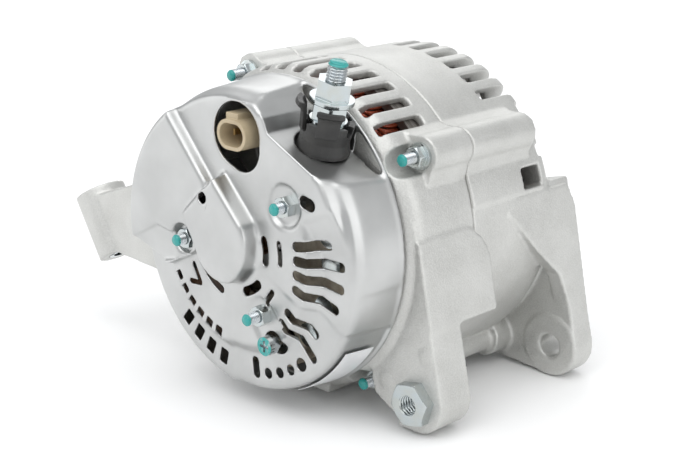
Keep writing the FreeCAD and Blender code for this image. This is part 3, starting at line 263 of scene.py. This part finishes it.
def drawn_sheet():
    """Bright pressed sheet: satin gloss, with a slow waviness, faint drawing lines and small scuffs."""
    look = Shading("drawn_sheet", Metallic=1.0)
    lines = look.noise(7 * MM, 3, (1.0, 0.10, 9.0))
    cloud = look.noise(20 * MM, 3)
    shade = look.ramp(cloud, [(0.3, (0.50, 0.505, 0.50)), (0.7, (0.575, 0.58, 0.575))])
    worn = look.mixed(look.ramp(look.edges(), [(0.52, 0.0), (0.62, 0.5)]), shade, (0.70, 0.70, 0.69))
    # painted shade: the colour goes darker where the sheet turns into a corner or hollow
    painted_hollow_shade = look.mixed(look.ramp(look.edges(), [(0.36, 0.6), (0.47, 0.0)]), worn, (0.26, 0.255, 0.245))
    look.link(painted_hollow_shade, look.shader.inputs["Base Color"])
    look.roughness(lines, 0.33, 0.37)
    look.bump((look.noise(24 * MM, 2), 0.10 * MM), (look.noise(0.6 * MM, 2), 0.0012 * MM))
    return look.material


def zinc_plate(name="zinc_plate", tint=(0.53, 0.58, 0.60)):
    """Bright zinc on turned or pressed steel, slightly blue and uneven."""
    look = Shading(name, Metallic=1.0)
    cloud = look.noise(5 * MM, 2)
    warm = tuple(value * shade for value, shade in zip(tint, (0.99, 0.95, 0.89)))
    look.colour(cloud, [(0.3, warm), (0.7, tint)])
    look.roughness(look.noise(3 * MM, 2), 0.14, 0.22)
    look.bump((look.noise(5 * MM, 1), 0.03 * MM))
    return look.material


def painted_tips(direction, tip, paint_length):
    """Zinc plate with a dab of teal marking paint on the last paint_length before tip."""
    look = Shading("zinc_teal_tip", Metallic=1.0)
    cloud = look.noise(5 * MM, 2)
    plate = look.ramp(cloud, [(0.3, (0.52, 0.54, 0.54)), (0.7, (0.54, 0.58, 0.61))])
    edge_softness = 0.15 * MM
    edge_wander = 1.2 * MM
    painted = look.compare(look.along(direction), tip - paint_length, edge_softness, look.noise(2.2 * MM, 2),
                           edge_wander)
    look.link(look.mixed(painted, plate, (0.035, 0.33, 0.31)), look.shader.inputs["Base Color"])
    dull = look.tree.nodes.new("ShaderNodeMath")
    dull.operation = "SUBTRACT"
    dull.inputs[0].default_value = 1
    look.link(painted, dull.inputs[1])
    look.link(dull.outputs[0], look.shader.inputs["Metallic"])
    look.roughness(look.noise(2 * MM, 2), 0.16, 0.3)
    look.bump((look.noise(5 * MM, 1), 0.03 * MM))
    return look.material


def moulded(name, dark, light, gloss):
    """Moulded plastic with a fine spark-eroded texture."""
    look = Shading(name)
    look.colour(look.noise(9 * MM, 3), [(0.3, dark), (0.7, light)])
    look.roughness(look.noise(1.2 * MM, 3), gloss, gloss + 0.18)
    look.bump((look.noise(0.30 * MM, 2), 0.012 * MM), (look.noise(4 * MM, 2), 0.05 * MM))
    return look.material


def enamelled_wire():
    """Red-brown enamelled copper wire under varnish."""
    look = Shading("enamelled_wire", Metallic=0.55, Coat_Weight=0.6, Coat_Roughness=0.12)
    look.colour(look.noise(3 * MM, 3), [(0.3, (0.22, 0.030, 0.012)), (0.7, (0.45, 0.085, 0.030))])
    look.roughness(look.noise(1 * MM, 2), 0.22, 0.40)
    look.bump((look.noise(0.6 * MM, 2), 0.02 * MM))
    return look.material


def machined(name, tint, low=0.22, high=0.36):
    """Turned metal: fine rings about the shaft."""
    look = Shading(name, Metallic=1.0)
    rings = look.noise(4 * MM, 4, (0.4, 14.0, 0.4))
    dark = tuple(value * 0.86 for value in tint)
    look.colour(look.noise(7 * MM, 3), [(0.3, dark), (0.7, tint)])
    look.roughness(rings, low, high)
    look.bump((rings, 0.012 * MM), (look.noise(0.5 * MM, 2), 0.006 * MM))
    return look.material


def dull_metal(name, dark, light, high=0.55):
    """Stamped or forged metal with a brownish varnish film."""
    look = Shading(name, Metallic=0.85)
    look.colour(look.noise(5 * MM, 4), [(0.3, dark), (0.7, light)])
    look.roughness(look.noise(2 * MM, 3), 0.32, high)
    look.bump((look.noise(0.7 * MM, 3), 0.03 * MM))
    return look.material


def laminations():
    """A stack of thin varnished sheets."""
    look = Shading("laminations", Metallic=0.7)
    sheets = look.noise(4 * MM, 3, (0.05, 12.0, 0.05))
    look.colour(sheets, [(0.35, (0.10, 0.09, 0.08)), (0.65, (0.30, 0.28, 0.26))])
    look.roughness(sheets, 0.4, 0.6)
    look.bump((sheets, 0.05 * MM))
    return look.material


def plain_film():
    """Clear-coated pale label film."""
    look = Shading("label_film", Coat_Weight=0.4, Coat_Roughness=0.15)
    look.colour(look.noise(6 * MM, 3), [(0.3, (0.72, 0.73, 0.74)), (0.7, (0.80, 0.81, 0.82))])
    look.roughness(look.noise(1.5 * MM, 3), 0.3, 0.42)
    look.bump((look.noise(0.8 * MM, 3), 0.01 * MM))
    return look.material


def materials():
    """The finish of each of the record's material slots."""
    return {
        "cast_aluminium": cast_aluminium(),
        "cover_sheet_metal": drawn_sheet(),
        "plated_steel": zinc_plate(),
        "dark_plastic": moulded("dark_plastic", (0.016, 0.016, 0.016), (0.034, 0.033, 0.031), 0.32),
        "beige_plastic": moulded("beige_plastic", (0.42, 0.34, 0.22), (0.52, 0.43, 0.29), 0.34),
        "brass": machined("brass", (0.78, 0.58, 0.28)),
        "bearing_steel": machined("bearing_steel", (0.62, 0.62, 0.62), 0.10, 0.22),
        "pulley_steel": machined("pulley_steel", (0.52, 0.53, 0.55)),
        "pole_steel": dull_metal("pole_steel", (0.10, 0.09, 0.08), (0.24, 0.22, 0.20)),
        "fan_steel": dull_metal("fan_steel", (0.30, 0.29, 0.27), (0.46, 0.45, 0.43)),
        "lamination_steel": laminations(),
        "enamelled_copper": enamelled_wire(),
        "copper": machined("copper", (0.80, 0.42, 0.26), 0.15, 0.28),
        "carbon": dull_metal("carbon", (0.02, 0.02, 0.02), (0.05, 0.05, 0.05), 0.7),
        "spring_steel": zinc_plate("spring_steel", (0.55, 0.55, 0.55)),
        "heat_sink": dull_metal("heat_sink", (0.30, 0.25, 0.19), (0.52, 0.47, 0.39)),
        "brown_plastic": moulded("brown_plastic", (0.10, 0.055, 0.03), (0.17, 0.10, 0.06), 0.35),
        "label_film": plain_film(),
    }


# ---------------------------------------------------------------------------------------------
# Mesh helpers


def piece(name, mesh, slot_name, body, *replaced):
    """A visible object made of this mesh: its finish, the body that it rides on and what it stands for."""
    made = bpy.data.objects.new(name, mesh)
    bpy.context.collection.objects.link(made)
    mesh.materials.clear()
    mesh.materials.append(FINISH[slot_name])
    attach(made, body)
    if replaced:
        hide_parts(*replaced)
    return made


def evaluated(source_mesh, *modifiers):
    """The mesh after these modifiers, each (type, {setting: value})."""
    worker = bpy.data.objects.new("worker", source_mesh)
    bpy.context.collection.objects.link(worker)
    for kind, settings in modifiers:
        modifier = worker.modifiers.new(kind.lower(), kind)
        for setting, value in settings.items():
            setattr(modifier, setting, value)
    graph = bpy.context.evaluated_depsgraph_get()
    graph.update()
    result = bpy.data.meshes.new_from_object(worker.evaluated_get(graph), depsgraph=graph)
    bpy.data.objects.remove(worker)
    return result


def softened(node, voxel, rounds, keep):
    """The CAD node's mesh with every edge rounded off: remeshed, smoothed and thinned out."""
    mesh = evaluated(
        NODES[node].data.copy(),
        ("REMESH", {"mode": "VOXEL", "voxel_size": voxel, "use_smooth_shade": True}),
        ("SMOOTH", {"factor": 0.5, "iterations": rounds}),
        ("DECIMATE", {"ratio": keep}))
    for face in mesh.polygons:
        face.use_smooth = True
    return piece(node + "_skin", mesh, SLOT_OF[node], BODY_OF[node], node)


def crisp(node, width):
    """The CAD node's mesh with a narrow round along its edges and flat faces that shade flat."""
    eased = evaluated(
        NODES[node].data.copy(),
        ("WELD", {"merge_threshold": 0.002 * MM}),
        ("BEVEL", {"width": width, "segments": 2, "limit_method": "ANGLE", "angle_limit": math.radians(35),
                   "use_clamp_overlap": True}))
    mesh = evaluated(smooth_by_angle(eased, 40), ("WEIGHTED_NORMAL", {"keep_sharp": True, "weight": 80}))
    return piece(node + "_eased", mesh, SLOT_OF[node], BODY_OF[node], node)


def extent(node, direction):
    """How far a CAD node reaches along a direction, as (least, most)."""
    reach = [Vector(direction).dot(corner.co) for corner in NODES[node].data.vertices]
    return min(reach), max(reach)


def joined(parts):
    """One mesh from several (vertices, faces) lists."""
    vertices = []
    faces = []
    for points, polygons in parts:
        base = len(vertices)
        vertices += points
        faces += [[base + index for index in polygon] for polygon in polygons]
    mesh = bpy.data.meshes.new("joined")
    mesh.from_pydata(vertices, [], faces)
    mesh.update()
    return mesh


def smooth_by_angle(mesh, degrees):
    """Shade smooth, with sharp edges kept where faces turn by more than this angle."""
    work = bmesh.new()
    work.from_mesh(mesh)
    limit = math.radians(degrees)
    for edge in work.edges:
        edge.smooth = len(edge.link_faces) == 2 and edge.calc_face_angle(0) < limit
    for face in work.faces:
        face.smooth = True
    bmesh.ops.recalc_face_normals(work, faces=work.faces)
    work.to_mesh(mesh)
    work.free()
    return mesh


def upright(direction):
    """The turn that takes +Z to this direction."""
    return Vector((0, 0, 1)).rotation_difference(Vector(direction)).to_matrix()


def thread_parts(start, direction, length, major, pitch, plain_from=None):
    """A threaded rod as (vertices, faces); past plain_from it has no thread."""
    around = 36
    step = pitch / 8
    rows = int(length / step)
    turn = upright(direction)
    depth = pitch * 0.55
    vertices = []
    for row in range(rows + 1):
        height = length * row / rows
        ends = min(height, length - height)
        for side in range(around):
            angle = 2 * math.pi * side / around
            phase = (height / pitch - side / around) % 1
            crest = abs(2 * phase - 1)
            cut = depth * min(max(crest * 1.5 - 0.25, 0), 1)
            if plain_from is not None and height > plain_from:
                cut = 0
            radius = min(major - cut, major - 0.75 * pitch + ends)
            spot = Vector((radius * math.cos(angle), radius * math.sin(angle), height))
            vertices.append(Vector(start) + turn @ spot)
    faces = []
    for row in range(rows):
        for side in range(around):
            following = (side + 1) % around
            faces.append([row * around + side, row * around + following,
                          (row + 1) * around + following, (row + 1) * around + side])
    faces.append(list(range(around))[::-1])
    faces.append([rows * around + side for side in range(around)])
    return vertices, faces


def tube_parts(path, radius, sides=6):
    """A round wire along a list of points, as (vertices, faces)."""
    vertices = []
    for index, spot in enumerate(path):
        ahead = path[min(index + 1, len(path) - 1)] - path[max(index - 1, 0)]
        across = ahead.cross(spot).normalized()
        upward = across.cross(ahead).normalized()
        for side in range(sides):
            angle = 2 * math.pi * side / sides
            vertices.append(spot + (across * math.cos(angle) + upward * math.sin(angle)) * radius)
    faces = []
    for row in range(len(path) - 1):
        for side in range(sides):
            following = (side + 1) % sides
            faces.append([row * sides + side, row * sides + following,
                          (row + 1) * sides + following, (row + 1) * sides + side])
    return vertices, faces


FINISH = materials()


def dress_cad_nodes():
    """Give every carried-over CAD node its finish."""
    for name, node in NODES.items():
        for place in node.material_slots:
            place.material = FINISH[SLOT_OF[name]]


def floor():
    size = 14
    mesh = bpy.data.meshes.new("floor")
    low = CAD_BOX[0][2] - 0.3 * MM
    corners = [(-size, -size, low), (size, -size, low), (size, size, low), (-size, size, low)]
    mesh.from_pydata(corners, [], [(0, 1, 2, 3)])
    ground = bpy.data.objects.new("floor", mesh)
    bpy.context.collection.objects.link(ground)
    look = Shading("floor", Roughness=0.75)
    look.colour(look.noise(0.8, 2), [(0.3, (0.90, 0.90, 0.90)), (0.7, (0.94, 0.94, 0.94))])
    mesh.materials.append(look.material)


# ---------------------------------------------------------------------------------------------
# Fasteners


def through_studs():
    """Four long studs, threaded at the end that stands out of the rear bosses."""
    low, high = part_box("through_studs")
    threaded_length = 22 * MM
    parts = []
    for quarter in range(4):
        angle = STUD_ANGLE + quarter * math.pi / 2
        start = (STUD_CIRCLE * math.cos(angle), low[1], STUD_CIRCLE * math.sin(angle))
        parts.append(thread_parts(start, (0, 1, 0), high[1] - low[1], *M5, threaded_length))
    mesh = smooth_by_angle(joined(parts), 50)
    studs = piece("through_studs_threaded", mesh, "plated_steel", "frame", "through_studs")
    studs.data.materials[0] = painted_tips((0, -1, 0), -low[1], 1.3 * MM)


def cover_studs():
    """Three studs that hold the cover, threaded all the way, each on a thinner shank."""
    outer_length = 9.5 * MM
    shank_overlap = 0.1 * MM
    shank_radius = 1.9 * MM
    shank_pitch = 0.7 * MM
    for number, (start, end) in enumerate(islands("cover_studs")):
        tip = ((start.x + end.x) / 2, start.y, (start.z + end.z) / 2)
        inner = (tip[0], tip[1] + outer_length - shank_overlap, tip[2])
        mesh = joined([thread_parts(tip, (0, 1, 0), outer_length, *M5),
                       thread_parts(inner, (0, 1, 0), end.y - inner[1], shank_radius, shank_pitch)])
        mesh = smooth_by_angle(mesh, 50)
        stud = piece(f"cover_stud_{number}", mesh, "plated_steel", "frame", "cover_studs")
        stud.data.materials[0] = painted_tips((0, -1, 0), -start.y, 1.5 * MM)


def islands(node):
    """The (lowest, highest) corners of each separate solid of a CAD node."""
    work = bmesh.new()
    work.from_mesh(NODES[node].data)
    bmesh.ops.remove_doubles(work, verts=work.verts, dist=0.001 * MM)
    left = set(work.verts)
    boxes = []
    while left:
        reached = [left.pop()]
        found = []
        while reached:
            corner = reached.pop()
            found.append(corner.co.copy())
            for edge in corner.link_edges:
                other = edge.other_vert(corner)
                if other in left:
                    left.remove(other)
                    reached.append(other)
        low = Vector([min(spot[axis] for spot in found) for axis in range(3)])
        high = Vector([max(spot[axis] for spot in found) for axis in range(3)])
        boxes.append((low, high))
    work.free()
    return sorted(boxes, key=lambda box: tuple(box[0]))


def output_stud():
    """The output terminal's stud."""
    mount = MOUNTS["output_stud_thread"]
    direction = Vector(mount["axis"])
    free_end = Vector(mount["pos_m"]) + direction * mount["dims"]["length_mm"] / 2 * MM
    least, most = extent("output_stud", direction)
    length = most - least
    mesh = joined([thread_parts(free_end - direction * length, direction, length, *M8)])
    stud = piece("output_stud_threaded", smooth_by_angle(mesh, 50), "plated_steel", "frame", "output_stud")
    stud.data.materials[0] = painted_tips(tuple(direction), direction.dot(free_end), 1.6 * MM)


def pivot_insert():
    """The hexagon insert, with a real thread cut into its bore."""
    mount = MOUNTS["rear_pivot_thread"]
    low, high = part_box("pivot_insert")
    past_end = 3 * MM
    major, pitch = M10
    start = (mount["pos_m"][0], low[1] - past_end, mount["pos_m"][2])
    reach = high[1] - low[1] + 2 * past_end
    cutter = joined([thread_parts(start, (0, 1, 0), reach, major - 0.15 * MM, pitch)])
    tool = bpy.data.objects.new("thread_tool", cutter)
    bpy.context.collection.objects.link(tool)
    mesh = evaluated(
        NODES["pivot_insert"].data.copy(),
        ("WELD", {"merge_threshold": 0.002 * MM}),
        ("DECIMATE", {"decimate_type": "DISSOLVE", "angle_limit": math.radians(1)}),
        ("BEVEL", {"width": 0.35 * MM, "segments": 2, "limit_method": "ANGLE",
                   "angle_limit": math.radians(32)}),
        ("BOOLEAN", {"operation": "DIFFERENCE", "object": tool, "solver": "EXACT"}))
    bpy.data.objects.remove(tool)
    flat = evaluated(smooth_by_angle(mesh, 40), ("WEIGHTED_NORMAL", {"keep_sharp": True, "weight": 80}))
    piece("pivot_insert_threaded", flat, "plated_steel", "frame", "pivot_insert")


# ---------------------------------------------------------------------------------------------
# Pressed cover


def opening_map(mesh, step, reach):
    """Where a line along the shaft passes the mesh: 1 in openings, 0 in sheet, on a grid over X and Z."""
    tree = BVHTree.FromPolygons([corner.co for corner in mesh.vertices],
                                [tuple(face.vertices) for face in mesh.polygons])
    count = int(2 * reach / step) + 1
    face_radius = 60 * MM
    stand_off = 10 * MM
    probe_length = 34 * MM
    start = min(corner.co.y for corner in mesh.vertices) - stand_off
    cells = numpy.zeros((count, count))
    for column in range(count):
        for row in range(count):
            x = column * step - reach
            z = row * step - reach
            if math.hypot(x, z) < face_radius:
                hit = tree.ray_cast(Vector((x, start, z)), Vector((0, 1, 0)), probe_length)
                cells[column, row] = hit[0] is None
    return cells


def spread_out(cells, rounds):
    """The map with every opening grown and faded by a few cells."""
    for _ in range(rounds):
        padded = numpy.pad(cells, 1)
        around = (padded[2:, 1:-1] + padded[:-2, 1:-1] + padded[1:-1, 2:] + padded[1:-1, :-2]) / 4
        cells = (cells + around) / 2
    return cells


def cover_skin():
    """The cover with the wide soft bends of a deep-drawn sheet; its openings stay as crisp as they are."""
    step = 0.5 * MM
    reach = 64 * MM
    mesh = evaluated(
        NODES["rear_cover"].data.copy(),
        ("REMESH", {"mode": "VOXEL", "voxel_size": 0.45 * MM}),
        ("SMOOTH", {"factor": 0.5, "iterations": 4}))
    near_opening = spread_out(opening_map(mesh, step, reach), 6)
    levels = 5
    fade = 12
    groups = [[] for _ in range(levels + 1)]
    for corner in mesh.vertices:
        column = int((corner.co.x + reach) / step)
        row = int((corner.co.z + reach) / step)
        inside = 0 <= column < len(near_opening) and 0 <= row < len(near_opening)
        closeness = near_opening[column, row] if inside else 0
        groups[round(levels * max(0, 1 - fade * closeness))].append(corner.index)
    worker = bpy.data.objects.new("worker", mesh)
    bpy.context.collection.objects.link(worker)
    bends = worker.vertex_groups.new(name="bends")
    for level, members in enumerate(groups):
        bends.add(members, level / levels, "REPLACE")
    smooth = worker.modifiers.new("smooth", "SMOOTH")
    smooth.factor = 0.5
    smooth.iterations = 70
    smooth.vertex_group = "bends"
    thin = worker.modifiers.new("thin", "DECIMATE")
    thin.ratio = 0.4
    even = worker.modifiers.new("even", "SMOOTH")
    even.factor = 0.5
    even.iterations = 5
    even.vertex_group = "bends"
    graph = bpy.context.evaluated_depsgraph_get()
    graph.update()
    skin = bpy.data.meshes.new_from_object(worker.evaluated_get(graph), depsgraph=graph)
    bpy.data.objects.remove(worker)
    for face in skin.polygons:
        face.use_smooth = True
    piece("rear_cover_skin", skin, SLOT_OF["rear_cover"], BODY_OF["rear_cover"], "rear_cover")


# ---------------------------------------------------------------------------------------------
# Brush springs


def brush_springs():
    """Two brush coil springs, each made from its own copy of its CAD mesh and shaded smooth."""
    joints = {joint["name"]: joint for joint in frame["record"]["behaviour"]["joints"]}
    for side in ("rear", "front"):
        joint = joints[side + "_brush_slide"]
        node = joint["deforming_nodes"][0]["node"]
        mesh = smooth_by_angle(NODES[node].data.copy(), 60)
        spring = piece(node + "_coil", mesh, SLOT_OF[node], "frame", node)
        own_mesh(spring)


# ---------------------------------------------------------------------------------------------
# Stator winding


def winding():
    """Wire end turns that weave round the stator, and the wires along its slots."""
    low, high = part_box("stator_winding")
    core_low, core_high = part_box("stator_core")
    slots = 36
    slots_spanned = 3
    strands = 5
    steps = 24
    wire = 0.62 * MM
    middle = 59 * MM
    bulge = 2.6 * MM
    layer = 0.55 * MM
    scatter = 0.35 * MM
    into_slot = 1 * MM
    fan_out = 0.09
    pitch = 2 * math.pi / slots
    parts = []
    for slot_number in range(slots):
        for strand in range(strands):
            offset = strand - strands // 2
            sway = math.sin(slot_number * 12.9898 + strand * 78.233)
            for near, far in ((core_low[1], low[1]), (core_high[1], high[1])):
                height = (abs(far - near) - wire) * (0.97 - 0.05 * strand)
                path = []
                for step in range(steps + 1):
                    share = step / steps
                    swing = share * share * (3 - 2 * share)
                    angle = (slot_number + slots_spanned * swing + fan_out * offset) * pitch
                    rise = math.sin(math.pi * share) ** 0.55
                    radius = middle + bulge * math.cos(math.pi * share) + layer * offset + scatter * sway
                    side = near + math.copysign(height * rise, far - near)
                    path.append(Vector((radius * math.cos(angle), side, radius * math.sin(angle))))
                parts.append(tube_parts(path, wire))
            angle = (slot_number + fan_out * offset) * pitch
            radius = middle + layer * offset
            ends = [Vector((radius * math.cos(angle), side, radius * math.sin(angle)))
                    for side in (core_low[1] - into_slot, core_high[1] + into_slot)]
            parts.append(tube_parts(ends, wire))
    mesh = smooth_by_angle(joined(parts), 80)
    piece("winding_wires", mesh, "enamelled_copper", "frame", "stator_winding")


camera()
studio()
floor()
dress_cad_nodes()

for housing in ("rear_housing", "drive_end_housing"):
    softened(housing, voxel=0.8 * MM, rounds=4, keep=0.30)
cover_skin()
for moulding in ("output_insulator", "field_connector"):
    softened(moulding, voxel=0.2 * MM, rounds=3, keep=0.5)
for fastener in ("through_stud_nuts", "cover_nuts", "terminal_screw", "output_washer", "output_lower_nut",
                 "output_flange_nut", "pulley_nut"):
    eased = crisp(fastener, width=0.14 * MM)
    if fastener == "terminal_screw":
        eased.data.materials[0] = painted_tips((0, -1, 0), -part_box(fastener)[0][1], 0.15 * MM)
through_studs()
cover_studs()
output_stud()
pivot_insert()
brush_springs()
winding()
